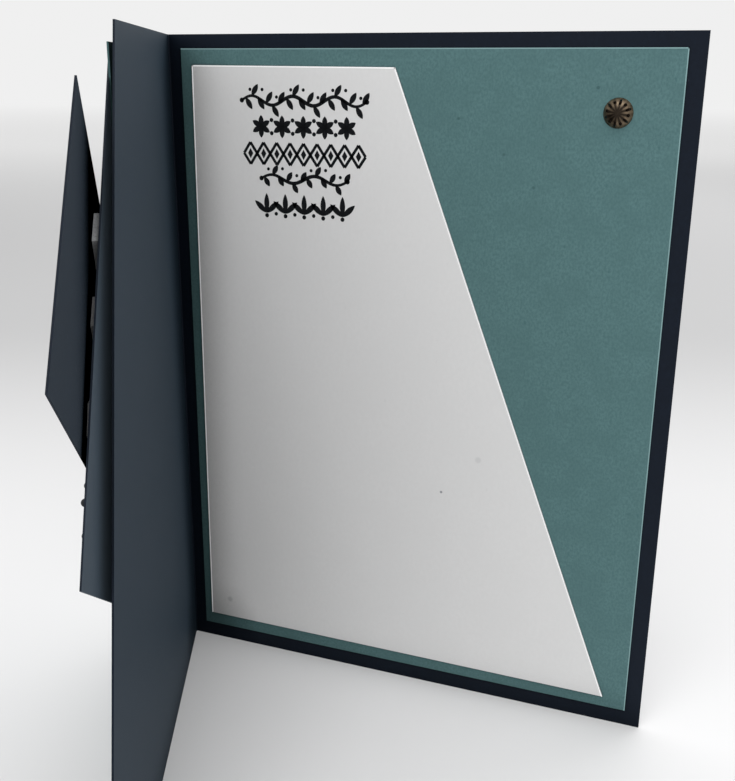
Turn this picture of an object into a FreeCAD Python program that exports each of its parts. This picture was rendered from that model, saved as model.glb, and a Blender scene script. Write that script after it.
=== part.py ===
import FreeCAD, Part
import os
import Sketcher

# Greeting card of folded and layered cardstock, standing open on its lower edges.
# Row frame: origin in the middle of the back leaf's foot, +X along the back leaf
# away from the fold, -Y into the opening, +Z up. Lengths in mm, angles in degrees.

doc = FreeCAD.newDocument("GreetingCard")

# Driving dimensions
sheet = doc.addObject("Spreadsheet::Sheet", "Sizes")
drivingSizes = [
    ("cardWidth", 107.95),          # back leaf, fold to free edge
    ("cardHeight", 139.7),
    ("cardThickness", 0.35),
    ("foldRadius", 0.3),            # inner radius of the fold
    ("openingAngle", 66.07),        # between the two leaves
    ("frontTopWidth", 57.15),       # front leaf at its top, before the diagonal runs out to the foot
    ("borderWidth", 3.175),         # card showing round each mat
    ("matRise", 0.4),               # inside mat, above the middle of its leaf
    ("matThickness", 0.3),
    ("panelThickness", 0.3),        # white writing panel
    ("panelSideMargin", 1.9),       # its lower corner by the fold, in from the mat's edges
    ("panelFootMargin", 3.0),
    ("panelHeadMargin", 3.25),
    ("panelTopWidth", 44.8),
    ("panelFootWidth", 94.85),
    ("panelTurnAngle", 0.33),       # the panel leans to the right
    ("foamThickness", 1.5),
    ("foamAcross", 10.0),           # foam hexagon, corner to corner
    ("frontMatWidth", 50.8),        # plain strip of card on the front leaf
    ("layerThickness", 0.3),        # turned rectangle on the front
    ("layerLength", 85.725),
    ("layerWidth", 57.15),
    ("layerAngle", 32.5),           # its long edge from upright
    ("layerCornerInset", 10.15),    # its lower outer corner, in from the card's full width
    ("layerCornerDrop", 77.3),      # and down from the card's top
    ("layerDotInset", 6.6),         # centres of the foam along its outer long edge, in from that edge
    ("flapCornerInset", 3.85),      # square corner of the triangular off-cut, placed the same way
    ("flapCornerDrop", 46.45),
    ("flapCornerLift", 0.12),       # that corner above the turned rectangle
    ("flapAngle", 48.6),            # short edge below level
    ("flapTiltAngle", 1.55),        # the flap stands further off towards the fold
    ("bradInset", 14.45),            # centre of the fastener from the free edge
    ("bradDrop", 13.95),            # and from the top
    ("bradDiameter", 5.4),
    ("bradRise", 1.5),
    ("bradWall", 0.3),
    ("bradPiercingReach", 1.93),    # centre of the openings from the dome's centre
    ("bradSlotLength", 0.66),
    ("bradTurnAngle", 19.0),        # first slot from level
    ("bradSlotWidth", 0.46),
    ("bradHoleDiameter", 0.6),
    ("bradPlateDiameter", 4.2),
    ("bradPlateThickness", 0.25),
    ("prongThickness", 0.25),
    ("prongWidth", 1.6),
    ("prongReach", 7.0),
    ("prongGap", 0.1),
    ("slitClearance", 0.06),
    ("sprigBend", 42.0),            # radius that the stem follows
    ("sprigArcAngle", 18.0),
    ("sprigStemRadius", 0.2),
    ("sprigBerryRadius", 0.65),
    ("sprigMiddleAlong", 9.5),     # middle of the stem, measured up the rectangle's outer long edge
    ("sprigInset", 7.4),            # and in from that edge
]
for row, (alias, value) in enumerate(drivingSizes, start=1):
    sheet.set("A%d" % row, alias)
    sheet.set("B%d" % row, str(value))
    sheet.setAlias("B%d" % row, alias)
doc.recompute()


def size(alias):
    """Current value of one cell."""
    return float(sheet.get(alias))


# Lengths that follow from the driving ones, as expressions
diagonalSlope = "((Sizes.cardWidth - Sizes.frontTopWidth) / Sizes.cardHeight)"
matWidth = "(Sizes.cardWidth - 2 * Sizes.borderWidth)"
matHeight = "(Sizes.cardHeight - 2 * Sizes.borderWidth)"
frontMatBase = "(Sizes.cardThickness + Sizes.foamThickness)"
layerBase = "(%s + Sizes.matThickness)" % frontMatBase
layerFace = "(%s + Sizes.layerThickness)" % layerBase
flapShort = "(Sizes.cardWidth - Sizes.frontTopWidth)"
bradAcross = "(Sizes.cardWidth - Sizes.bradInset)"
bradHeight = "(Sizes.cardHeight - Sizes.bradDrop)"

# Frames of the two leaves: x away from the fold, y up, z off the leaf.
# The back frame looks into the opening, the front frame looks out of the card.
foldPoint = "vector(-Sizes.cardWidth / 2; -Sizes.cardThickness / 2; 0)"
upright = "rotation(vector(1; 0; 0); 90)"
backFrame = "placement(%s; %s)" % (foldPoint, upright)
frontFrame = "placement(%s; rotation(vector(0; 0; 1); -Sizes.openingAngle) * %s)" % (foldPoint, upright)
layerFrame = (
    "%s * placement(vector(Sizes.cardWidth - Sizes.layerCornerInset;"
    " Sizes.cardHeight - Sizes.layerCornerDrop; 0);"
    " rotation(vector(0; 0; 1); Sizes.layerAngle))" % frontFrame
)
flapFrame = (
    "%s * placement(vector(Sizes.cardWidth - Sizes.flapCornerInset;"
    " Sizes.cardHeight - Sizes.flapCornerDrop; %s + Sizes.flapCornerLift);"
    " rotation(vector(0; 1; 0); Sizes.flapTiltAngle) * rotation(vector(0; 0; 1); -Sizes.flapAngle))"
    % (frontFrame, layerFace)
)


def shifted(frame, across, up, lift="0"):
    """A frame moved within itself."""
    return "%s * placement(vector(%s; %s; %s); rotation(vector(0; 0; 1); 0))" % (frame, across, up, lift)


def newBody(label, frame):
    body = doc.addObject("PartDesign::Body", label)
    body.Label = label
    body.setExpression("Placement", frame)
    return body


def originPlane(body, role):
    for feature in body.Origin.OriginFeatures:
        if feature.Role == role:
            return feature
    raise RuntimeError("no plane " + role)


def newSketch(body, name, plane="XY_Plane", lift=None):
    sketch = body.newObject("Sketcher::SketchObject", name)
    sketch.AttachmentSupport = [(originPlane(body, plane), "")]
    sketch.MapMode = "FlatFace"
    if lift:
        sketch.setExpression("AttachmentOffset.Base.z", lift)
    return sketch


def valueOf(expression):
    """Number that an expression gives now, for the sketch's first guess."""
    text = expression
    for alias, _ in sorted(drivingSizes, key=lambda pair: -len(pair[0])):
        text = text.replace("Sizes." + alias, "(%r)" % size(alias))
    return evaluate(text)


def evaluate(text):
    """Work a plain expression out on a scratch property of the sheet's own document."""
    probe.setExpression("Placement.Base.x", text)
    probe.recompute()
    return probe.Placement.Base.x


probe = doc.addObject("App::Placement", "Probe")


def pinPoint(sketch, geometry, point, across, up, name):
    """Hold one point of a sketch by two dimensions from its origin."""
    for kind, expression, suffix in (("DistanceX", across, "Across"), ("DistanceY", up, "Up")):
        sketch.addConstraint(Sketcher.Constraint(kind, -1, 1, geometry, point, valueOf(expression)))
        index = sketch.ConstraintCount - 1
        sketch.renameConstraint(index, name + suffix)
        sketch.setExpression("Constraints." + name + suffix, expression)


def bindRadius(sketch, geometry, expression, name):
    sketch.addConstraint(Sketcher.Constraint("Radius", geometry, valueOf(expression)))
    sketch.renameConstraint(sketch.ConstraintCount - 1, name)
    sketch.setExpression("Constraints." + name, expression)


def polygon(sketch, corners):
    """Closed outline whose corners are pairs of expressions."""
    points = [FreeCAD.Vector(valueOf(x), valueOf(y), 0) for x, y in corners]
    for index, start in enumerate(points):
        sketch.addGeometry(Part.LineSegment(start, points[(index + 1) % len(points)]), False)
    for index in range(len(points)):
        after = (index + 1) % len(points)
        sketch.addConstraint(Sketcher.Constraint("Coincident", index, 2, after, 1))
    for index, (across, up) in enumerate(corners):
        pinPoint(sketch, index, 1, across, up, "corner%d" % index)


def pad(body, name, sketch, length, reverse=False, midplane=False):
    feature = body.newObject("PartDesign::Pad", name)
    feature.Profile = sketch
    feature.setExpression("Length", length)
    feature.Reversed = reverse
    feature.Midplane = midplane
    return feature


def roundFold(body, name, base, place, radius):
    """Round the upright edge of a fold that stands at one place of the profile."""
    x, y = valueOf(place[0]), valueOf(place[1])
    for number, edge in enumerate(base.Shape.Edges, start=1):
        ends = [vertex.Point for vertex in edge.Vertexes]
        upright = ends[0].distanceToPoint(ends[-1]) > 0.9 * size("cardHeight")
        if upright and all(abs(end.x - x) < 0.01 and abs(end.y - y) < 0.01 for end in ends):
            bend = body.newObject("PartDesign::Fillet", name)
            bend.Base = (base, ["Edge%d" % number])
            bend.setExpression("Radius", radius)
            doc.recompute()
            return bend
    raise RuntimeError("no fold edge for " + name)


def flatSheet(label, frame, corners, base, thickness):
    """A sheet of card: its outline, how far it lies off the leaf, and its thickness."""
    body = newBody(label, frame)
    sketch = newSketch(body, label + "Outline", lift=base)
    polygon(sketch, corners)
    pad(body, label + "Sheet", sketch, thickness)
    return body


# The folded card: one V of card seen from above, rounded at the fold, then the diagonal
# cut of the front leaf and the fastener's slit
def makeCardBase():
    turn = "Sizes.openingAngle"
    thick = "Sizes.cardThickness"
    reach = "Sizes.cardWidth"
    body = newBody("card_base", "placement(%s; rotation(vector(0; 0; 1); 0))" % foldPoint)
    profile = newSketch(body, "FoldProfile")
    outerFoldX = "-(%s * (1 + cos(%s)) / sin(%s))" % (thick, turn, turn)
    polygon(
        profile,
        [
            ("0", "0"),
            (reach, "0"),
            (reach, thick),
            (outerFoldX, thick),
            ("%s * cos(%s) - %s * sin(%s)" % (reach, turn, thick, turn),
             "-(%s * sin(%s)) - %s * cos(%s)" % (reach, turn, thick, turn)),
            ("%s * cos(%s)" % (reach, turn), "-(%s * sin(%s))" % (reach, turn)),
        ],
    )
    leaves = pad(body, "Leaves", profile, "Sizes.cardHeight")
    doc.recompute()
    inner = roundFold(body, "InnerBend", leaves, ("0", "0"), "Sizes.foldRadius")
    roundFold(body, "OuterBend", inner, (outerFoldX, thick), "Sizes.foldRadius + Sizes.cardThickness")

    # diagonal cut, drawn on the front leaf's inner face and carried past both ends of the edge
    diagonal = newSketch(body, "DiagonalCut", "XZ_Plane")
    diagonal.setExpression(
        "AttachmentOffset", "placement(vector(0; 0; 0); rotation(vector(0; 1; 0); -Sizes.openingAngle))"
    )
    over = "(2 * Sizes.borderWidth)"
    farX = "Sizes.cardWidth + %s * %s" % (diagonalSlope, over)
    polygon(
        diagonal,
        [
            ("Sizes.frontTopWidth - %s * %s" % (diagonalSlope, over), "Sizes.cardHeight + " + over),
            (farX, "-" + over),
            (farX, "Sizes.cardHeight + " + over),
        ],
    )
    cut = body.newObject("PartDesign::Pocket", "DiagonalPocket")
    cut.Profile = diagonal
    cut.Midplane = True
    cut.setExpression("Length", "4 * Sizes.cardThickness")

    slit = newSketch(body, "FastenerSlit", "XZ_Plane")
    polygon(slit, slitCorners(bradAcross, bradHeight))
    slot = body.newObject("PartDesign::Pocket", "SlitPocket")
    slot.Profile = slit
    slot.Midplane = True
    slot.setExpression("Length", "4 * Sizes.cardThickness")
    return body


def slitCorners(across, up):
    """Slit that both prongs pass through, round a centre."""
    halfAcross = "(Sizes.prongGap / 2 + Sizes.prongThickness + Sizes.slitClearance)"
    halfUp = "(Sizes.prongWidth / 2 + Sizes.slitClearance)"
    return [
        ("%s - %s" % (across, halfAcross), "%s - %s" % (up, halfUp)),
        ("%s + %s" % (across, halfAcross), "%s - %s" % (up, halfUp)),
        ("%s + %s" % (across, halfAcross), "%s + %s" % (up, halfUp)),
        ("%s - %s" % (across, halfAcross), "%s + %s" % (up, halfUp)),
    ]


# Inside of the back leaf: coloured mat, then the white panel with its diagonal edge
def makeInsideMat():
    left = "Sizes.borderWidth"
    right = "(Sizes.borderWidth + %s)" % matWidth
    low = "(Sizes.borderWidth + Sizes.matRise)"
    top = "(Sizes.borderWidth + Sizes.matRise + %s)" % matHeight
    corners = [(left, low), (right, low), (right, top), (left, top)]
    body = flatSheet("inside_mat", backFrame, corners, "0", "Sizes.matThickness")
    slit = newSketch(body, "MatSlit")
    polygon(slit, slitCorners(bradAcross, bradHeight))
    slot = body.newObject("PartDesign::Pocket", "MatSlitPocket")
    slot.Profile = slit
    slot.Midplane = True
    slot.setExpression("Length", "4 * Sizes.matThickness")
    return body


def makeInsidePanel():
    left = "(Sizes.borderWidth + Sizes.panelSideMargin)"
    low = "(Sizes.borderWidth + Sizes.matRise + Sizes.panelFootMargin)"
    height = "(%s - Sizes.panelFootMargin - Sizes.panelHeadMargin)" % matHeight
    turned = " * placement(vector(0; 0; 0); rotation(vector(0; 0; 1); -Sizes.panelTurnAngle))"
    corners = [("0", "0"), ("Sizes.panelFootWidth", "0"), ("Sizes.panelTopWidth", height), ("0", height)]
    frame = shifted(backFrame, left, low) + turned
    return flatSheet("inside_panel", frame, corners, "Sizes.matThickness", "Sizes.panelThickness")


# Fastener: a pierced dome of sheet brass over a base plate whose two prongs pass
# through mat and leaf and are spread flat behind it
def makeBradCap():
    turned = " * placement(vector(0; 0; 0); rotation(vector(0; 0; 1); Sizes.bradTurnAngle))"
    body = newBody("brad_cap", shifted(backFrame, bradAcross, bradHeight, "Sizes.matThickness") + turned)
    rim = "(Sizes.bradDiameter / 2)"
    ball = "((%s ^ 2 + Sizes.bradRise ^ 2) / (2 * Sizes.bradRise))" % rim
    depth = "(%s - Sizes.bradRise)" % ball
    for kind, name, radius, lowest in (
        ("PartDesign::AdditiveSphere", "DomeOutside", ball, "asin(%s / %s)" % (depth, ball)),
        ("PartDesign::SubtractiveSphere", "DomeInside", "(%s - Sizes.bradWall)" % ball, None),
    ):
        cap = body.newObject(kind, name)
        cap.AttachmentSupport = [(originPlane(body, "XY_Plane"), "")]
        cap.MapMode = "FlatFace"
        cap.setExpression("AttachmentOffset.Base.z", "-" + depth)
        cap.setExpression("Radius", radius)
        if lowest:
            cap.setExpression("Angle1", lowest)
    doc.recompute()

    # one slot and one round hole, repeated round the dome
    slotSketch = newSketch(body, "SlotOutline")
    near = "(Sizes.bradPiercingReach - Sizes.bradSlotLength / 2)"
    far = "(Sizes.bradPiercingReach + Sizes.bradSlotLength / 2)"
    half = "(Sizes.bradSlotWidth / 2)"
    polygon(
        slotSketch,
        [
            (near, "-" + half),
            (far, "-" + half),
            (far + " + " + half, "0"),
            (far, half),
            (near, half),
            (near + " - " + half, "0"),
        ],
    )
    slot = body.newObject("PartDesign::Pocket", "Slot")
    slot.Profile = slotSketch
    slot.Midplane = True
    slot.setExpression("Length", "4 * Sizes.bradRise")

    holeSketch = newSketch(body, "HoleOutline")
    holeX = "Sizes.bradPiercingReach * cos(30)"
    holeY = "Sizes.bradPiercingReach * sin(30)"
    middle = FreeCAD.Vector(valueOf(holeX), valueOf(holeY), 0)
    holeSketch.addGeometry(Part.Circle(middle, FreeCAD.Vector(0, 0, 1), size("bradHoleDiameter") / 2), False)
    pinPoint(holeSketch, 0, 3, holeX, holeY, "middle")
    bindRadius(holeSketch, 0, "Sizes.bradHoleDiameter / 2", "holeRadius")
    hole = body.newObject("PartDesign::Pocket", "Hole")
    hole.Profile = holeSketch
    hole.Midplane = True
    hole.setExpression("Length", "4 * Sizes.bradRise")
    doc.recompute()

    ring = body.newObject("PartDesign::PolarPattern", "Piercings")
    ring.Originals = [slot, hole]
    ring.Axis = (slotSketch, ["N_Axis"])
    ring.Angle = 360
    ring.Occurrences = 6
    body.Tip = ring
    return body


def makeBradLegs():
    body = newBody("brad_legs", shifted(backFrame, bradAcross, bradHeight, "Sizes.matThickness"))
    plate = newSketch(body, "PlateOutline")
    plate.addGeometry(
        Part.Circle(FreeCAD.Vector(0, 0, 0), FreeCAD.Vector(0, 0, 1), size("bradPlateDiameter") / 2), False
    )
    pinPoint(plate, 0, 3, "0", "0", "middle")
    bindRadius(plate, 0, "Sizes.bradPlateDiameter / 2", "plateRadius")
    pad(body, "Plate", plate, "Sizes.bradPlateThickness")

    near = "(Sizes.prongGap / 2)"
    far = "(%s + Sizes.prongThickness)" % near
    half = "(Sizes.prongWidth / 2)"
    stack = "(Sizes.matThickness + Sizes.cardThickness)"
    neckSketch = newSketch(body, "NeckOutline")
    polygon(neckSketch, [(near, "-" + half), (far, "-" + half), (far, half), (near, half)])
    neck = pad(body, "Neck", neckSketch, stack + " + Sizes.prongThickness", reverse=True)

    # the spread prong, its end trimmed to a blunt point
    spreadSketch = newSketch(body, "SpreadOutline", lift="-" + stack)
    tip = "Sizes.prongReach"
    shoulder = "(Sizes.prongReach - Sizes.prongWidth / 2)"
    quarter = "(Sizes.prongWidth / 4)"
    polygon(
        spreadSketch,
        [
            (near, "-" + half),
            (shoulder, "-" + half),
            (tip, "-" + quarter),
            (tip, quarter),
            (shoulder, half),
            (near, half),
        ],
    )
    spread = pad(body, "Spread", spreadSketch, "Sizes.prongThickness", reverse=True)
    doc.recompute()
    other = body.newObject("PartDesign::Mirrored", "OtherProng")
    other.Originals = [neck, spread]
    other.MirrorPlane = (originPlane(body, "YZ_Plane"), [""])
    body.Tip = other
    return body


# Front of the card: foam, mat, turned rectangle, foam, and the triangle that was
# cut off the front leaf, laid across it all
def makeFrontMat():
    low = "Sizes.borderWidth"
    right = "(Sizes.borderWidth + Sizes.frontMatWidth)"
    top = "(Sizes.borderWidth + %s)" % matHeight
    corners = [(low, low), (right, low), (right, top), (low, top)]
    return flatSheet("front_mat", frontFrame, corners, frontMatBase, "Sizes.matThickness")


def makeFrontLayer():
    corners = [
        ("0", "0"),
        ("0", "Sizes.layerLength"),
        ("-Sizes.layerWidth", "Sizes.layerLength"),
        ("-Sizes.layerWidth", "0"),
    ]
    return flatSheet("front_layer", layerFrame, corners, layerBase, "Sizes.layerThickness")


def makeFrontFlap():
    corners = [("0", "0"), ("-" + flapShort, "0"), ("0", "-Sizes.cardHeight")]
    return flatSheet("front_flap", flapFrame, corners, "0", "Sizes.cardThickness")


def makeFoamDot(label, frame, base, thickness, turn=0):
    """Hexagon of foam, its first corner turned from the frame's x."""
    body = newBody(label, frame)
    sketch = newSketch(body, label + "Outline", lift=base)
    polygon(
        sketch,
        [
            ("Sizes.foamAcross / 2 * cos(%d)" % angle, "Sizes.foamAcross / 2 * sin(%d)" % angle)
            for angle in range(turn, turn + 360, 60)
        ],
    )
    pad(body, label + "Foam", sketch, thickness)
    return body


def makeWedgeDot(label, frame, base, room, turn=0):
    """Foam that is pressed to the tilt of the flap: a tall dot, kept only below the flap."""
    tall = makeFoamDot(label + "_tall", frame, base, "4 * Sizes.foamThickness", turn)
    kept = doc.addObject("Part::Common", label)
    kept.Label = label
    kept.Base = tall
    kept.Tool = room
    return kept


# Sprig: a fine stem along an arc on the turned rectangle, with round berries on stalks to
# both sides. Each berry: how far up the rectangle's outer edge and in from it, in mm, and
# how far back down the stem its stalk starts.
sprigBerries = [
    (16.0, 5.0, 1.9), (13.2, 3.6, 2.2), (11.0, 6.0, 1.2), (8.5, 5.2, 1.6),
    (15.4, 9.6, 1.8), (12.6, 10.6, 2.0), (9.4, 9.9, 1.7), (6.4, 10.4, 1.8),
]


def makeSprig():
    frame = shifted(layerFrame, "0", "0", layerFace)
    centreX = "(-(Sizes.sprigInset + Sizes.sprigBend))"
    pieces = []
    stem = doc.addObject("Part::Torus", "SprigStem")
    stem.setExpression("Radius1", "Sizes.sprigBend")
    stem.setExpression("Radius2", "Sizes.sprigStemRadius")
    stem.setExpression("Angle3", "Sizes.sprigArcAngle")
    stem.setExpression(
        "Placement",
        "placement(vector(%s; Sizes.sprigMiddleAlong; Sizes.sprigStemRadius);"
        " rotation(vector(0; 0; 1); -Sizes.sprigArcAngle / 2))" % centreX,
    )
    pieces.append(stem)
    for number, (along, inset, back) in enumerate(sprigBerries, start=1):
        aside = "asin((%g - %g - Sizes.sprigMiddleAlong) / Sizes.sprigBend)" % (along, back)
        footX = "(%s + Sizes.sprigBend * cos(%s))" % (centreX, aside)
        spanX = "(-%g - %s)" % (inset, footX)
        stalk = doc.addObject("Part::Cylinder", "SprigStalk%d" % number)
        stalk.setExpression("Radius", "0.9 * Sizes.sprigStemRadius")
        stalk.setExpression("Height", "sqrt(%s ^ 2 + %g ^ 2)" % (spanX, back))
        stalk.setExpression(
            "Placement",
            "placement(vector(%s; %g - %g; Sizes.sprigStemRadius);"
            " rotation(vector(0; 0; 1); atan2(%g; %s)) * rotation(vector(0; 1; 0); 90))"
            % (footX, along, back, back, spanX),
        )
        berry = doc.addObject("Part::Sphere", "SprigBerry%d" % number)
        berry.setExpression("Radius", "Sizes.sprigBerryRadius")
        berry.setExpression(
            "Placement",
            "placement(vector(-%g; %g; Sizes.sprigBerryRadius); rotation(vector(0; 0; 1); 0))" % (inset, along),
        )
        pieces += [stalk, berry]
    sprig = doc.addObject("Part::MultiFuse", "berry_sprig")
    sprig.Label = "berry_sprig"
    sprig.Shapes = pieces
    sprig.setExpression("Placement", frame)
    return sprig


subParts = [makeCardBase(), makeInsideMat(), makeInsidePanel(), makeBradCap(), makeBradLegs()]
subParts += [makeFrontMat(), makeFrontLayer(), makeFrontFlap(), makeSprig()]

# Foam between the front leaf and its mat: places as shares of the mat's width and height
frontDots = [(0.18, 0.08), (0.80, 0.09), (0.50, 0.30), (0.20, 0.52), (0.79, 0.50), (0.19, 0.92), (0.78, 0.90)]
for number, (share, rise) in enumerate(frontDots, start=1):
    across = "(Sizes.borderWidth + Sizes.frontMatWidth * %g)" % share
    up = "(Sizes.borderWidth + %s * %g)" % (matHeight, rise)
    dotFrame = shifted(frontFrame, across, up)
    subParts.append(makeFoamDot("front_foam_%d" % number, dotFrame, "Sizes.cardThickness", "Sizes.foamThickness"))

# Space below the tilted flap, which the foam under it fills up to
room = doc.addObject("Part::Box", "FlapRoom")
room.setExpression("Length", "2 * Sizes.cardHeight")
room.setExpression("Width", "2 * Sizes.cardHeight")
room.setExpression("Height", "Sizes.cardHeight")
room.setExpression(
    "Placement", shifted(flapFrame, "-1.5 * Sizes.cardHeight", "-1.5 * Sizes.cardHeight", "-Sizes.cardHeight")
)

# Foam under the flap: a row along the rectangle's outer edge, two further in, one near the flap's tip.
# Places are shares of the rectangle's length and multiples of the row's inset.
flapDots = [(0.645, 0.79, -22), (0.490, 1, -23), (0.300, 1, -33), (0.57, 4.9, 0), (0.352, 5.5, 15)]
for number, (share, inset, turn) in enumerate(flapDots, start=1):
    dotFrame = shifted(
        layerFrame, "-%g * Sizes.layerDotInset" % inset, "%g * Sizes.layerLength" % share
    )
    subParts.append(makeWedgeDot("flap_foam_%d" % number, dotFrame, layerFace, room, turn))
tipFrame = shifted(frontFrame, "0.22 * Sizes.cardWidth", "0.21 * Sizes.cardHeight")
subParts.append(makeWedgeDot("flap_foam_%d" % (len(flapDots) + 1), tipFrame, layerBase, room))

doc.removeObject("Probe")
doc.recompute()

for thing in doc.Objects:
    if "Invalid" in thing.State or "Error" in thing.State:
        raise RuntimeError("%s did not compute: %s" % (thing.Label, thing.State))

os.makedirs("parts", exist_ok=True)
for subPart in subParts:
    shape = subPart.Shape
    if shape.isNull() or not shape.isValid() or len(shape.Solids) != 1:
        raise RuntimeError("%s has no single valid solid" % subPart.Label)
    shape.exportStep("parts/%s.step" % subPart.Label)
    box = shape.BoundBox
    print(
        "%-14s volume %9.3f  x %7.2f %7.2f  y %7.2f %7.2f  z %7.2f %7.2f"
        % (subPart.Label, shape.Volume, box.XMin, box.XMax, box.YMin, box.YMax, box.ZMin, box.ZMax)
    )
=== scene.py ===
import math

import bpy
from mathutils import Euler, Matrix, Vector


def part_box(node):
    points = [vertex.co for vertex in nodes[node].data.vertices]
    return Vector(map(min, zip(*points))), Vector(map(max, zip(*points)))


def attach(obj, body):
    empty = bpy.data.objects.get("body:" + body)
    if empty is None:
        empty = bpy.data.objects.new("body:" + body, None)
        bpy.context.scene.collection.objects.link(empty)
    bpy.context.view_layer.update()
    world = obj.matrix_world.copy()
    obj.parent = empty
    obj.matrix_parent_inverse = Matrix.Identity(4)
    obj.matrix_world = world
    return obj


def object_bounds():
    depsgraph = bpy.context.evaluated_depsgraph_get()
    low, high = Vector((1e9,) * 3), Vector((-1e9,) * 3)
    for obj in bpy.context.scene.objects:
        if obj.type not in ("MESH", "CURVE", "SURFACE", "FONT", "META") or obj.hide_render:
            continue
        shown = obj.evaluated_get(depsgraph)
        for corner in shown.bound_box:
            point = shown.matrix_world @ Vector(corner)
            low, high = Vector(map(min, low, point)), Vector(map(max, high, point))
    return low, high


# Greeting card, standing open: card stock, foam, brass fastener and a small stamped ornament.
# Lengths are millimetres in the row frame; those of the floor and the lights are metres.
mm = 0.001  # metres in a millimetre

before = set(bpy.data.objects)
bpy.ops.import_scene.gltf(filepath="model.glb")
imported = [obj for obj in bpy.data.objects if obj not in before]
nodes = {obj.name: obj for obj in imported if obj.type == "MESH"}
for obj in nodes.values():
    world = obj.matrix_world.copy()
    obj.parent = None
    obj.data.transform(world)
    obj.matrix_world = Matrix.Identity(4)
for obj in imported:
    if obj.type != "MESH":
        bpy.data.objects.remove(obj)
frameBox = [list(corner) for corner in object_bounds()]
print("frame loaded:", len(nodes), "nodes")


def isVector(value):
    return isinstance(value, tuple) or isinstance(value, Flow) and value.socket.type == "VECTOR"


# One output of a shader tree. Arithmetic on it adds a Math node, or a Vector Math node for vectors.
class Flow:
    def __init__(self, tree, socket=None):
        self.tree = tree
        self.socket = socket

    # values or links for a node's sockets; a colour is given as red, green and blue
    def feed(self, node, inputs):
        for name, value in inputs.items():
            target = node.inputs[name]
            if isinstance(value, Flow):
                self.tree.links.new(value.socket, target)
            elif target.type == "RGBA":
                target.default_value = (*value, 1.0)
            else:
                target.default_value = value

    def node(self, kind, settings=None, inputs=None, output=0):
        made = self.tree.nodes.new(kind)
        for name, value in (settings or {}).items():
            setattr(made, name, value)
        self.feed(made, inputs or {})
        return Flow(self.tree, made.outputs[output])

    def combine(self, operation, *values):
        if any(isVector(value) for value in values):
            kind = "ShaderNodeVectorMath"
            values = [(v, v, v) if isinstance(v, (int, float)) else v for v in values]
        else:
            kind = "ShaderNodeMath"
        return self.node(kind, {"operation": operation}, dict(enumerate(values)))

    def __add__(self, other):
        return self.combine("ADD", self, other)

    def __radd__(self, other):
        return self.combine("ADD", other, self)

    def __sub__(self, other):
        return self.combine("SUBTRACT", self, other)

    def __rsub__(self, other):
        return self.combine("SUBTRACT", other, self)

    def __mul__(self, other):
        return self.combine("MULTIPLY", self, other)

    def __rmul__(self, other):
        return self.combine("MULTIPLY", other, self)

    # a number from a vector: its length, or its distance from another or dot product with it
    def measure(self, operation, *others):
        inputs = dict(enumerate((self, *others)))
        return self.node("ShaderNodeVectorMath", {"operation": operation}, inputs, output="Value")

    def part(self, axis):
        return self.node("ShaderNodeSeparateXYZ", None, {"Vector": self}, output=axis)

    def ramp(self, low, high, start=0.0, end=1.0):
        return self.node(
            "ShaderNodeMapRange",
            {"interpolation_type": "SMOOTHSTEP"},
            {"Value": self, "From Min": low, "From Max": high, "To Min": start, "To Max": end},
        )

    # the first colour where this share is 0 and the second where it is 1; the Mix node's colours
    # are sockets 6 and 7, and output 2
    def mix(self, first, second):
        inputs = {0: self, 6: first, 7: second}
        return self.node("ShaderNodeMix", {"data_type": "RGBA"}, inputs, output=2)


def newMaterial(name):
    material = bpy.data.materials.new(name)
    material.use_nodes = True
    tree = material.node_tree
    return material, Flow(tree), tree.nodes["Principled BSDF"]


# Sends a mix of two shaders to the material's output
def mixShaders(flow, share, first, second):
    mixed = flow.node("ShaderNodeMixShader", None, {0: share, 1: first, 2: second})
    flow.feed(flow.tree.nodes["Material Output"], {"Surface": mixed})


# Position in the row frame in millimetres: the nodes sit at the origin
def placeOf(flow):
    return flow.node("ShaderNodeTexCoord", output="Object") * (1 / mm)


def noise(flow, place, scale, detail=2.0, roughness=0.5, offset=(0.0, 0.0, 0.0)):
    inputs = {"Vector": place + offset, "Scale": scale, "Detail": detail, "Roughness": roughness}
    return flow.node("ShaderNodeTexNoise", {"noise_dimensions": "3D"}, inputs)


# Share of the sky that a point sees within a short reach
def openness(flow, reach):
    inputs = {"Distance": reach * mm}
    return flow.node("ShaderNodeAmbientOcclusion", {"samples": 8}, inputs, output="AO")


# Painted shade: the corners between the sheets are darkened by mixing in black where a point sees
# little sky. A corner gives how far it reaches, the openness where it is darkest and where it ends,
# and the share of light left in it
wideCorner = {"reach": 16.0, "closed": 0.25, "open": 0.85, "shade": 0.35}
# the layer's corner paints a thin dark line of shade beside the front leaf's edge
layerCorner = {"reach": 1.2, "closed": 0.30, "open": 0.6, "shade": 0.05}
# the flap's corner paints a broad black band, a painted shadow of the layer falling on the flap
flapCorner = {"reach": 12.0, "closed": 0.82, "open": 0.985, "shade": 0.0}
foamCorner = {"reach": 8.0, "closed": 0.1, "open": 0.7, "shade": 0.25}


# Painted shade: the surface mixed with a black shader by the corner's ramp of openness
def paintCornerShade(flow, surface, corner):
    share = openness(flow, corner["reach"]).ramp(corner["closed"], corner["open"], corner["shade"])
    black = flow.node("ShaderNodeBsdfDiffuse", None, {"Color": (0.0, 0.0, 0.0)})
    mixShaders(flow, share, black, Flow(flow.tree, surface.outputs["BSDF"]))


# What all the card stock shares. A range is where its ramp starts and ends.
cardGrain = {
    "stretch": (1.0, 1.0, 0.75),  # fibres run a little longer upwards
    "fibre": {"detail": 3.0, "roughness": 0.6},
    "fibreRange": (0.3, 0.7),
    "mottle": {"detail": 2.0, "roughness": 0.5, "offset": (31.0, 7.0, 3.0)},
    "mottleRange": (0.35, 0.65),
    "fleck": {"detail": 1.0, "roughness": 0.4, "offset": (3.0, 19.0, 41.0)},
    "fleckFade": 0.06,
    "speckCore": 0.4,  # share of a speck's radius that has its full strength
    "bumpDepth": 0.05,
}
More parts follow.
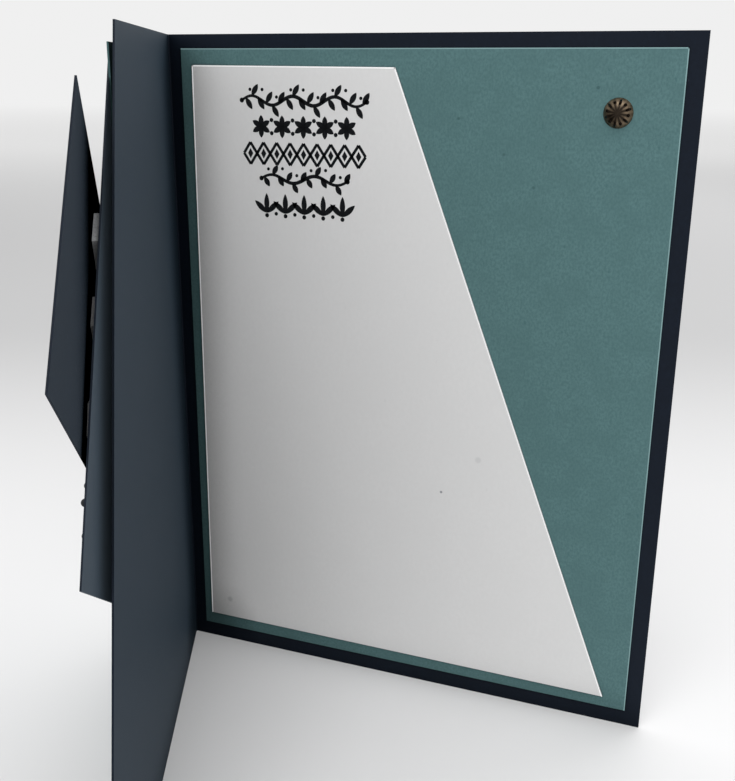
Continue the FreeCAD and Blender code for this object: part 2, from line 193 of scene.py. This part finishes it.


# Card stock: fine fibre, soft mottling, small flecks and single specks, with painted shade in the
# corners
def cardStock(name, look, corner=wideCorner):
    material, flow, surface = newMaterial(name)
    place = placeOf(flow)
    stretched = place * cardGrain["stretch"]
    fibre = noise(flow, stretched, look["fibreScale"], **cardGrain["fibre"])
    mottle = noise(flow, place, look["mottleScale"], **cardGrain["mottle"])
    fleck = noise(flow, stretched, look["fleckScale"], **cardGrain["fleck"])
    fleckStart = look["fleckStart"]
    flecks = fleck.ramp(fleckStart, fleckStart + cardGrain["fleckFade"]) * look["fleckShare"]
    mottling = mottle.ramp(*cardGrain["mottleRange"], 0.0, look["mottleShare"])
    colour = fibre.ramp(*cardGrain["fibreRange"]).mix(look["dark"], look["light"])
    colour = mottling.mix(colour, look["dark"])
    colour = flecks.mix(colour, look["fleck"])
    onSheet = place * (1.0, 0.0, 1.0)
    for x, z, radius, strength in look["specks"]:
        away = onSheet.measure("DISTANCE", (x, 0.0, z))
        speck = away.ramp(cardGrain["speckCore"] * radius, radius, strength, 0.0)
        colour = speck.mix(colour, look["speck"])
    relief = {"Strength": look["bump"], "Distance": cardGrain["bumpDepth"] * mm, "Height": fibre}
    inputs = {
        "Base Color": colour,
        "Roughness": look["roughness"],
        "Specular IOR Level": look["specular"],
        "Sheen Weight": look["sheen"],
        "Sheen Roughness": look["sheenRoughness"],
        "Sheen Tint": look["sheenTint"],
        "Normal": flow.node("ShaderNodeBump", None, relief, output="Normal"),
    }
    flow.feed(surface, inputs)
    paintCornerShade(flow, surface, corner)
    return material


# A speck is its place across and up, its radius and its strength at the middle
navyLook = {
    "light": (0.0030, 0.0066, 0.0148),
    "dark": (0.0020, 0.0047, 0.0112),
    "fleck": (0.0200, 0.0260, 0.0350),
    "fibreScale": 1.6,
    "mottleScale": 0.16,
    "mottleShare": 0.5,
    "fleckScale": 0.9,
    "fleckStart": 0.76,
    "fleckShare": 0.5,
    "roughness": 0.62,
    "specular": 0.15,
    "sheen": 0.060,
    "sheenRoughness": 0.55,
    "sheenTint": (0.46, 0.75, 1.0),
    "bump": 0.25,
    "specks": (),
}
# Lit and shaded copies of the navy card: the layer's copy has more sheen, painted light on the
# strip of it seen past the front leaf
litLayerNavyLook = {**navyLook, "sheen": 0.165, "sheenTint": (0.56, 0.74, 0.90)}
# the flap's copy has less sheen, painted darker
shadedFlapNavyLook = {**navyLook, "sheen": 0.036}
tealLook = {
    "light": (0.0945, 0.1830, 0.1880),
    "dark": (0.0700, 0.1410, 0.1450),
    "fleck": (0.050, 0.115, 0.122),
    "fibreScale": 2.3,
    "mottleScale": 0.22,
    "mottleShare": 0.4,
    "fleckScale": 1.05,
    "fleckStart": 0.755,
    "fleckShare": 0.45,
    "roughness": 0.85,
    "specular": 0.1,
    "sheen": 0.05,
    "sheenRoughness": 0.6,
    "sheenTint": (0.6, 0.85, 0.85),
    "bump": 0.25,
    "speck": (0.035, 0.080, 0.085),
    "specks": (
        (9.6, 124.2, 0.4, 0.6),
        (35.6, 130.1, 0.45, 0.6),
        (18.8, 117.8, 0.4, 0.5),
        (24.8, 111.9, 0.4, 0.5),
    ),
}
whiteLook = {
    "light": (0.678, 0.678, 0.676),
    "dark": (0.661, 0.661, 0.659),
    "fleck": (0.55, 0.55, 0.55),
    "fibreScale": 1.2,
    "mottleScale": 0.12,
    "mottleShare": 0.5,
    "fleckScale": 0.8,
    "fleckStart": 0.78,
    "fleckShare": 0.2,
    "roughness": 0.6,
    "specular": 0.2,
    "sheen": 0.0,
    "sheenRoughness": 0.5,
    "sheenTint": (1.0, 1.0, 1.0),
    "bump": 0.1,
    "speck": (0.16, 0.17, 0.19),
    "specks": ((8.6, 47.3, 0.38, 0.85), (16.4, 55.7, 0.9, 0.16), (-43.8, 11.1, 0.9, 0.3)),
}

# Ramps below are where they start and end, and their values there if these aren't 0 and 1
brassLook = {
    "patina": (0.012, 0.008, 0.005),
    "worn": (0.20, 0.150, 0.098),
    "metallic": 0.85,
    "recessReach": 0.9,
    "recess": (0.55, 1.0),
    "grimeScale": 1.4,
    "grimeDetail": 3.0,
    "grimeRoughness": 0.6,
    "grime": (0.25, 0.75, 0.35, 1.0),
    "gloss": (0.2, 0.8, 0.28, 0.5),
    "openings": 12,
    "firstOpening": math.radians(19),
    "groove": (0.35, 0.9),
    "grooveShare": 0.85,
    "grooveEnd": (1.9, 2.3, 1.0, 0.0),
    "middle": (0.5, 2.0, 0.85, 0.0),
}


# Antique brass: dark in the recesses, between the petals and in the middle, rubbed brighter
# where it stands proud
def antiqueBrass(name, look):
    material, flow, surface = newMaterial(name)
    place = placeOf(flow)
    grime = noise(flow, place, look["grimeScale"], look["grimeDetail"], look["grimeRoughness"])
    low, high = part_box("brad_cap")
    off = place - tuple((low + high) / 2 / mm)
    angle = flow.combine("ARCTAN2", off.part("Z"), off.part("X")) - look["firstOpening"]
    lines = flow.combine("ABSOLUTE", flow.combine("COSINE", angle * (look["openings"] / 2)))
    distance = (off * (1.0, 0.0, 1.0)).measure("LENGTH")
    groove = lines.ramp(*look["groove"]) * distance.ramp(*look["grooveEnd"])
    proud = openness(flow, look["recessReach"]).ramp(*look["recess"])
    clean = grime.ramp(*look["grime"])
    middle = distance.ramp(*look["middle"])
    share = proud * clean * (1.0 - groove * look["grooveShare"]) * (1.0 - middle)
    inputs = {
        "Base Color": share.mix(look["patina"], look["worn"]),
        "Metallic": look["metallic"],
        "Roughness": grime.ramp(*look["gloss"]),
    }
    flow.feed(surface, inputs)
    return material


# White foam painted grey, standing in for the shade between the layers; its corners get painted
# shade as well
foamLook = {
    "colour": (0.50, 0.51, 0.52),
    "pore": (0.34, 0.35, 0.36),
    "poreScale": 3.0,
    "poreRange": (0.1, 0.6),
    "roughness": 0.9,
}


def foam(name, look):
    material, flow, surface = newMaterial(name)
    inputs = {"Vector": placeOf(flow), "Scale": look["poreScale"]}
    pores = flow.node("ShaderNodeTexVoronoi", None, inputs, output="Distance")
    colour = pores.ramp(*look["poreRange"]).mix(look["pore"], look["colour"])
    flow.feed(surface, {"Base Color": colour, "Roughness": look["roughness"]})
    paintCornerShade(flow, surface, foamCorner)
    return material


# Plain matt colours; contrast is how many times lighter the palest patches are
mattGrain = {"scale": 1.8, "specular": 0.25}
sprigLook = {"colour": (0.006, 0.007, 0.009), "roughness": 0.55, "contrast": 1.6}
inkLook = {"colour": (0.0012, 0.0020, 0.0030), "roughness": 0.9, "contrast": 1.6}


def plainMatt(name, look):
    material, flow, surface = newMaterial(name)
    wear = noise(flow, placeOf(flow), mattGrain["scale"])
    lighter = tuple(look["contrast"] * channel for channel in look["colour"])
    inputs = {
        "Base Color": wear.mix(look["colour"], lighter),
        "Roughness": look["roughness"],
        "Specular IOR Level": mattGrain["specular"],
    }
    flow.feed(surface, inputs)
    return material


navy = cardStock("navy card", navyLook)
litLayerNavy = cardStock("navy layer card lit copy", litLayerNavyLook, layerCorner)
shadedFlapNavy = cardStock("navy flap card shaded copy", shadedFlapNavyLook, flapCorner)
teal = cardStock("teal card", tealLook)
white = cardStock("white card", whiteLook)
brass = antiqueBrass("antique brass", brassLook)
foamWhite = foam("white foam", foamLook)
sprigDark = plainMatt("dark sprig", sprigLook)
ink = plainMatt("stamping ink", inkLook)

# Every piece that isn't named here is a foam dot
materialOf = {
    "card_base": navy,
    "front_layer": litLayerNavy,
    "front_flap": shadedFlapNavy,
    "inside_mat": teal,
    "front_mat": teal,
    "inside_panel": white,
    "brad_cap": brass,
    "brad_legs": brass,
    "berry_sprig": sprigDark,
}
for name, node in nodes.items():
    node.data.materials.clear()
    node.data.materials.append(materialOf.get(name, foamWhite))
print("materials assigned")


# Flat shapes on a sheet of the back leaf: across to the right and up, in millimetres
class Drawing:
    def __init__(self):
        self.points = []
        self.faces = []

    def outline(self, corners):
        first = len(self.points)
        self.points += corners
        self.faces.append(tuple(range(first, first + len(corners))))

    # a line along a path; its width is a function of the share of the path
    def stroke(self, path, widthAt):
        first = len(self.points)
        last = len(path) - 1
        for index, (x, y) in enumerate(path):
            before = path[max(index - 1, 0)]
            after = path[min(index + 1, last)]
            dx, dy = after[0] - before[0], after[1] - before[1]
            length = math.hypot(dx, dy)
            half = widthAt(index / last) / 2
            across = (-dy / length * half, dx / length * half)
            self.points.append((x + across[0], y + across[1]))
            self.points.append((x - across[0], y - across[1]))
        for index in range(last):
            corner = first + 2 * index
            self.faces.append((corner, corner + 1, corner + 3, corner + 2))

    def dot(self, x, y, radius):
        steps = 20
        angles = [2 * math.pi * step / steps for step in range(steps)]
        self.outline([(x + radius * math.cos(a), y + radius * math.sin(a)) for a in angles])

    # a leaf from its foot, pointing along an angle
    def leaf(self, x, y, angle, length, width):
        steps = 10
        bluntness = 0.8
        side = []
        for step in range(steps + 1):
            share = step / steps
            side.append((share * length, width / 2 * math.sin(math.pi * share) ** bluntness))
        shape = side + [(along, -off) for along, off in reversed(side[1:-1])]
        cosine, sine = math.cos(angle), math.sin(angle)
        self.outline([(x + a * cosine - b * sine, y + a * sine + b * cosine) for a, b in shape])

    # a piece of its own, laid over a sheet's front
    def layOn(self, sheet, lift, name, material):
        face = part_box(sheet)[0].y - lift * mm
        mesh = bpy.data.meshes.new(name)
        mesh.from_pydata([(x * mm, face, y * mm) for x, y in self.points], [], self.faces)
        mesh.materials.append(material)
        piece = bpy.data.objects.new(name, mesh)
        bpy.context.scene.collection.objects.link(piece)
        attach(piece, "root")


# Stamped ornament: rows by the height of their middle on the panel and their width. A dot or a
# berry is its place from the row's own points and its radius.
ornament = {
    "middle": -22.9,
    "lift": 0.012,
    "vineHigh": {"height": 126.9, "width": 27.6, "waves": 3, "swing": 0.9, "leaf": 2.7},
    "vineLow": {"height": 111.4, "width": 19.4, "waves": 2, "swing": 0.8, "leaf": 2.3},
    "vine": {
        "stem": 0.5,
        "swell": 0.25,  # how much thicker the stem is in its middle
        "leavesPerWave": 6,
        "lean": 58,
        "leafWidth": 1.15,
        "berry": (1.0, 1.6, 0.34),
        "endRadius": 0.5,
    },
    "blossoms": {
        "height": 121.8,
        "width": 19.0,
        "count": 5,
        "petals": 6,
        "petal": 2.25,
        "petalWidth": 1.15,
        "dot": (1.3, 0.42),
    },
    "lattice": {
        "height": 116.4,
        "width": 27.2,
        "count": 9,
        "tall": 4.4,
        "line": 0.6,
        "core": (0.6, 1.05),
    },
    "sprays": {
        "height": 105.9,
        "width": 21.5,
        "count": 5,
        "tall": 4.6,
        "leaves": ((-48, 0.9), (0, 0.5), (48, 0.9)),  # lean, and how much shorter than the row
        "leafFoot": 0.7,
        "leafWidth": 1.2,
        "knot": (0.2, 0.45),
        "dot": (0.6, 0.4),
    },
}


# Even places across, centred on the ornament's middle
def spread(count, gap):
    return [ornament["middle"] + (number - (count - 1) / 2) * gap for number in range(count)]


def drawVine(drawing, row):
    look = ornament["vine"]
    steps = 60
    path = []
    for step in range(steps + 1):
        share = step / steps
        x = ornament["middle"] + (share - 0.5) * row["width"]
        y = row["height"] + row["swing"] * math.sin(2 * math.pi * row["waves"] * share)
        path.append((x, y))
    drawing.stroke(path, lambda share: look["stem"] + look["swell"] * math.sin(math.pi * share))
    count = look["leavesPerWave"] * row["waves"]
    right, up, radius = look["berry"]
    for number in range(count):
        x, y = path[round((number + 0.5) / count * steps)]
        upper = number % 2 == 1
        lean = math.radians(look["lean"] if upper else -look["lean"])
        drawing.leaf(x, y, lean, row["leaf"], look["leafWidth"])
        if not upper:
            drawing.dot(x + right, y + up, radius)
    for x, y in (path[0], path[-1]):
        drawing.dot(x, y, look["endRadius"])


def drawBlossoms(drawing, row):
    gap = row["width"] / (row["count"] - 1)
    up, radius = row["dot"]
    y = row["height"]
    for number, x in enumerate(spread(row["count"], gap)):
        for petal in range(row["petals"]):
            angle = 2 * math.pi * (petal + 0.5) / row["petals"]
            drawing.leaf(x, y, angle, row["petal"], row["petalWidth"])
        if number < row["count"] - 1:
            drawing.dot(x + gap / 2, y + up, radius)
            drawing.dot(x + gap / 2, y - up, radius)


def drawLattice(drawing, row):
    gap = row["width"] / row["count"]
    half = row["tall"] / 2
    coreWide, coreTall = row["core"]
    y = row["height"]
    for x in spread(row["count"], gap):
        diamond = [(x - gap / 2, y), (x, y + half), (x + gap / 2, y), (x, y - half)]
        for start, end in zip(diamond, diamond[1:] + diamond[:1]):
            drawing.stroke([start, end], lambda share: row["line"])
        core = [(x - coreWide, y), (x, y + coreTall), (x + coreWide, y), (x, y - coreTall)]
        drawing.outline(core)


# Fans of leaves over a knot, with dots between them
def drawSprays(drawing, row):
    gap = row["width"] / row["count"]
    foot = row["height"] - row["tall"] / 2
    knotUp, knotRadius = row["knot"]
    dotUp, dotRadius = row["dot"]
    for number, x in enumerate(spread(row["count"], gap)):
        for lean, shorter in row["leaves"]:
            angle = math.radians(90 + lean)
            length = row["tall"] - shorter
            drawing.leaf(x, foot + row["leafFoot"], angle, length, row["leafWidth"])
        drawing.dot(x, foot + knotUp, knotRadius)
        if number < row["count"] - 1:
            drawing.dot(x + gap / 2, foot + dotUp, dotRadius)


def buildOrnament():
    drawing = Drawing()
    drawVine(drawing, ornament["vineHigh"])
    drawBlossoms(drawing, ornament["blossoms"])
    drawLattice(drawing, ornament["lattice"])
    drawVine(drawing, ornament["vineLow"])
    drawSprays(drawing, ornament["sprays"])
    drawing.layOn("inside_panel", ornament["lift"], "stamped_ornament", ink)


buildOrnament()
print("ornament stamped")


# Painted highlights along the cut edges: hair-thin paler strips just inside a sheet's edges
edgeHighlightGrain = {"lift": 0.006, "roughness": 0.7, "contrast": 1.0}
edgeHighlights = {
    "panel_edge_highlights": {
        "sheet": "inside_panel",
        "slot": "white_card",
        "colour": (0.96, 0.96, 0.96),
        "width": 0.26,
        "runs": (("topLeft", "topRight"), ("topRight", "footRight"), ("footLeft", "topLeft")),
    },
    "mat_edge_highlights": {
        "sheet": "inside_mat",
        "slot": "teal_card",
        "colour": (0.21, 0.34, 0.35),
        "width": 0.20,
        "runs": (("topLeft", "topRight"), ("topRight", "footRight")),
    },
}


def sheetCorners(name):
    nearFace = 0.01 * mm
    slant = 0.4  # small enough that the upper right corner wins over the lower one
    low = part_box(name)[0]
    front = [v.co for v in nodes[name].data.vertices if abs(v.co.y - low.y) < nearFace]
    return {
        "topLeft": max(front, key=lambda v: v.z - v.x),
        "topRight": max(front, key=lambda v: v.z + slant * v.x),
        "footRight": max(front, key=lambda v: v.x - v.z),
        "footLeft": min(front, key=lambda v: v.z + v.x),
    }


def buildEdgeHighlights(name, look):
    corners = sheetCorners(look["sheet"])
    drawing = Drawing()
    for start, end in look["runs"]:
        first, last = corners[start] / mm, corners[end] / mm
        along = Vector((last.x - first.x, last.z - first.z)).normalized()
        inward = Vector((along.y, -along.x)) * (look["width"] / 2)
        path = [(corner.x + inward.x, corner.z + inward.y) for corner in (first, last)]
        drawing.stroke(path, lambda share: look["width"])
    material = plainMatt(name, {**edgeHighlightGrain, "colour": look["colour"]})
    drawing.layOn(look["sheet"], edgeHighlightGrain["lift"], name, material)


for name, look in edgeHighlights.items():
    buildEdgeHighlights(name, look)
print("edge highlights drawn")


backdropColour = (0.87, 0.87, 0.87)

# Floor: pale, with a patch of painted light close to the card's foot and a band of painted shade
# behind the card, fading into the backdrop far away.
# Lengths are metres, from the back leaf's foot or along the camera's heading.
floorLook = {
    "radius": 6.0,
    "corners": 96,
    "gap": 0.00001,  # below the card's foot
    "fade": (1.6, 5.8),
    "heading": (-0.361, 0.933, 0.0),
    # close is a patch of painted light at the card's foot; behind is a band of painted shade behind
    # the card
    "close": (0.725, 0.725, 0.729),
    "near": (0.665, 0.665, 0.669),
    "behind": (0.44, 0.44, 0.443),
    "far": (0.71, 0.71, 0.71),
    "nearRange": (0.03, 0.12),
    "behindRange": (0.02, 0.36),
    "farRange": (0.50, 2.00),
    "roughness": 0.8,
    "specular": 0.2,
}


def buildFloor(look):
    bpy.ops.mesh.primitive_circle_add(
        vertices=look["corners"], radius=look["radius"], fill_type="NGON"
    )
    floor = bpy.context.object
    floor.name = "floor"
    floor.location.z = frameBox[0][2] - look["gap"]
    material, flow, surface = newMaterial("pale floor")
    where = flow.node("ShaderNodeTexCoord", output="Object")
    distance = where.measure("LENGTH")
    back = where.measure("DOT_PRODUCT", look["heading"])
    colour = distance.ramp(*look["nearRange"]).mix(look["close"], look["near"])
    colour = back.ramp(*look["behindRange"]).mix(colour, look["behind"])
    colour = back.ramp(*look["farRange"]).mix(colour, look["far"])
    inputs = {
        "Base Color": colour,
        "Roughness": look["roughness"],
        "Specular IOR Level": look["specular"],
    }
    flow.feed(surface, inputs)
    backdrop = flow.node("ShaderNodeEmission", None, {"Color": backdropColour})
    fade = distance.ramp(*look["fade"])
    mixShaders(flow, fade, Flow(flow.tree, surface.outputs["BSDF"]), backdrop)
    floor.data.materials.append(material)


buildFloor(floorLook)
print("floor laid")


# Soft light from all round, and three softboxes that face the card: one high behind it, one high
# in front and a weak one at the right
worldLight = 1.02
softboxes = {
    "back": {"place": (0.20, 0.80, 0.80), "size": 0.9, "power": 3.3},
    "front": {"place": (0.05, -0.40, 0.85), "size": 0.45, "power": 2.8},
    "side": {"place": (0.65, -0.65, 0.50), "size": 0.5, "power": 0.7},
}
cardMiddle = Vector((0.0, -0.02, 0.07))


def lightScene():
    world = bpy.data.worlds.new("studio")
    world.use_nodes = True
    bpy.context.scene.world = world
    flow = Flow(world.node_tree)
    seen = flow.node("ShaderNodeLightPath", output="Is Camera Ray")
    colour = seen.mix((worldLight, worldLight, worldLight), backdropColour)
    flow.feed(world.node_tree.nodes["Background"], {"Color": colour})
    for name, look in softboxes.items():
        data = bpy.data.lights.new(name, "AREA")
        data.size = look["size"]
        data.energy = look["power"]
        lamp = bpy.data.objects.new(name, data)
        lamp.location = look["place"]
        lamp.rotation_euler = (cardMiddle - lamp.location).to_track_quat("-Z", "Y").to_euler()
        bpy.context.scene.collection.objects.link(lamp)


# Camera of the photograph: heading to the left of +Y, tilt below level and roll in degrees. The
# picture is a crop, so the lens is shifted a little.
cameraLook = {
    "place": (68.098, -196.439, 131.074),
    "heading": 21.180,
    "tilt": 17.966,
    "roll": 0.522,
    "lens": 47.353,
    "sensor": 36.0,
    "shift": (-0.0041, 0.0288),
    "nearest": 10.0,
}


def placeCamera(look):
    data = bpy.data.cameras.new("camera")
    data.lens = look["lens"]
    data.sensor_width = look["sensor"]
    data.shift_x, data.shift_y = look["shift"]
    data.clip_start = look["nearest"] * mm
    camera = bpy.data.objects.new("camera", data)
    camera.location = Vector(look["place"]) * mm
    heading = Euler((0, 0, math.radians(look["heading"]))).to_matrix()
    tilt = Euler((math.radians(90 - look["tilt"]), 0, 0)).to_matrix()
    roll = Euler((0, 0, math.radians(look["roll"]))).to_matrix()
    camera.rotation_euler = (heading @ tilt @ roll).to_euler()
    bpy.context.scene.collection.objects.link(camera)
    bpy.context.scene.camera = camera


lightScene()
placeCamera(cameraLook)
bpy.context.scene.view_settings.view_transform = "Standard"
print("lights and camera placed")
